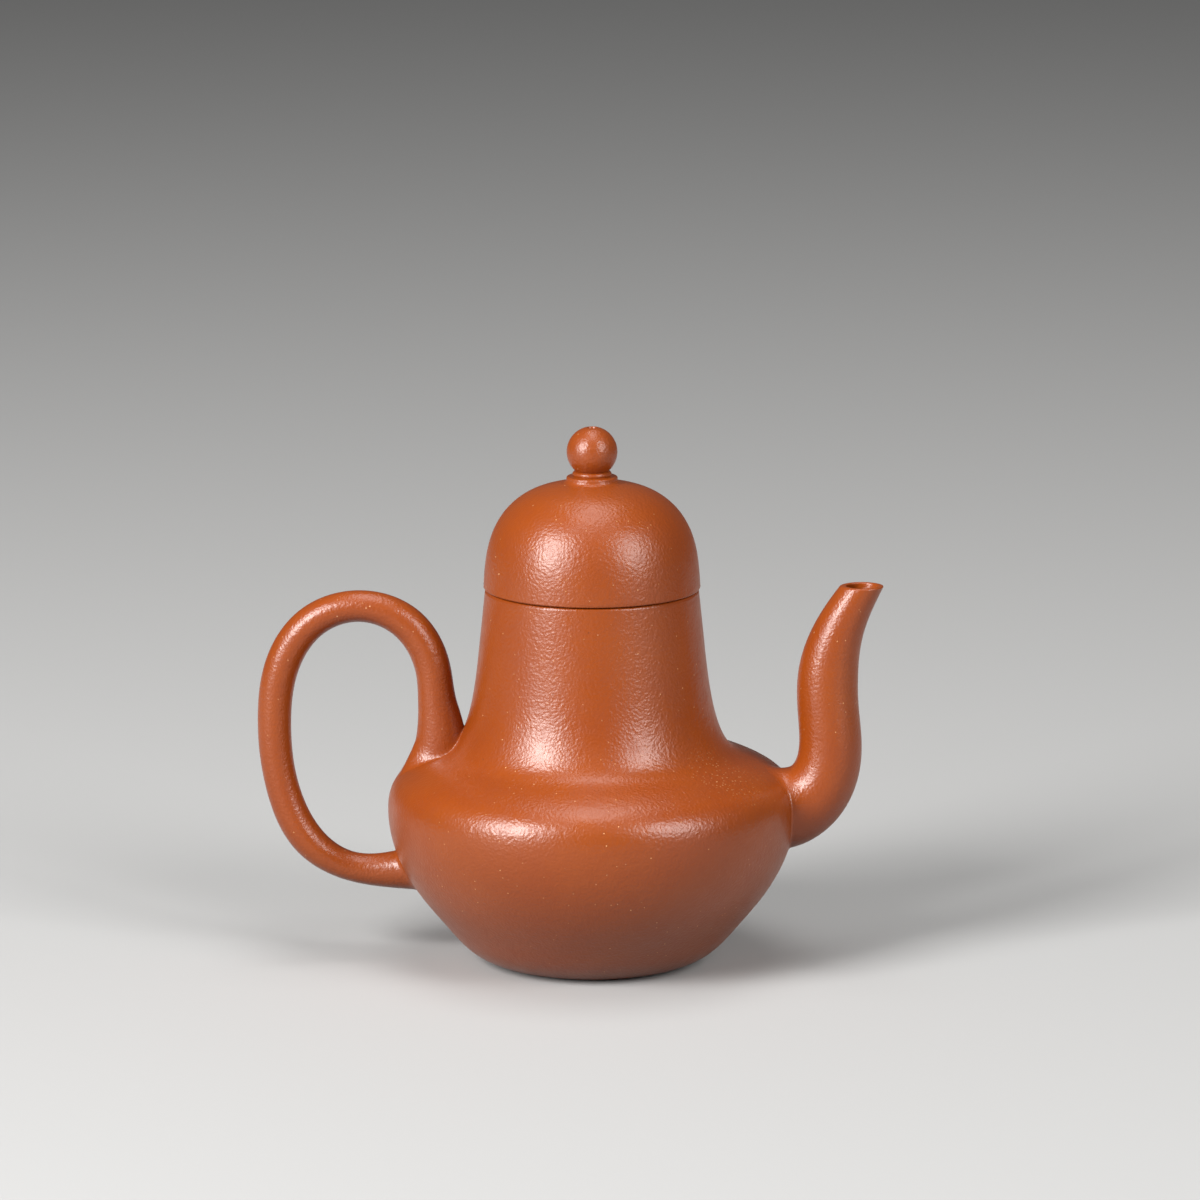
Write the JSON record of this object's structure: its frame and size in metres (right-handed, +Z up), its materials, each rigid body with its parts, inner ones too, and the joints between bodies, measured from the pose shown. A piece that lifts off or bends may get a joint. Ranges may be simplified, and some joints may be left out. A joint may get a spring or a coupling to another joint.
{
  "type": "teapot",
  "caption": "Small unglazed red clay teapot: low round belly, tall neck, domed lid with ball knob that lifts off and turns, bent spout and loop handle.",
  "frame": {"origin": "centre of the underside, on the surface that the pot stands on", "axes": "+Z up along the pot's axis, +X towards the spout, the handle at -X"},
  "size_m": [0.1111, 0.0724, 0.0958],
  "materials": {
    "pot_clay": "satin",
    "lid_clay": "satin",
    "inside_clay": "matte"
  },
  "bodies": {
    "pot": {"base_plate": "pot_clay", "belly": "pot_clay", "shoulder": "pot_clay", "neck": "pot_clay", "strainer": "inside_clay", "spout": "pot_clay", "handle": "pot_clay"},
    "lid_ring": {"lid_flange": "inside_clay"},
    "lid": {"lid_plate": "lid_clay", "lid_dome": "lid_clay", "knob_collar": "lid_clay", "knob": "lid_clay"}
  },
  "joints": [
    {"name": "lid_lift", "type": "slide", "parent": "pot", "child": "lid_ring", "axis": [0, 0, 1], "range_m": [0, 0.03]},
    {"name": "lid_turn", "type": "hinge", "parent": "lid_ring", "child": "lid", "pos_m": [0, 0, 0.067], "axis": [0, 0, 1], "continuous": true}
  ]
}
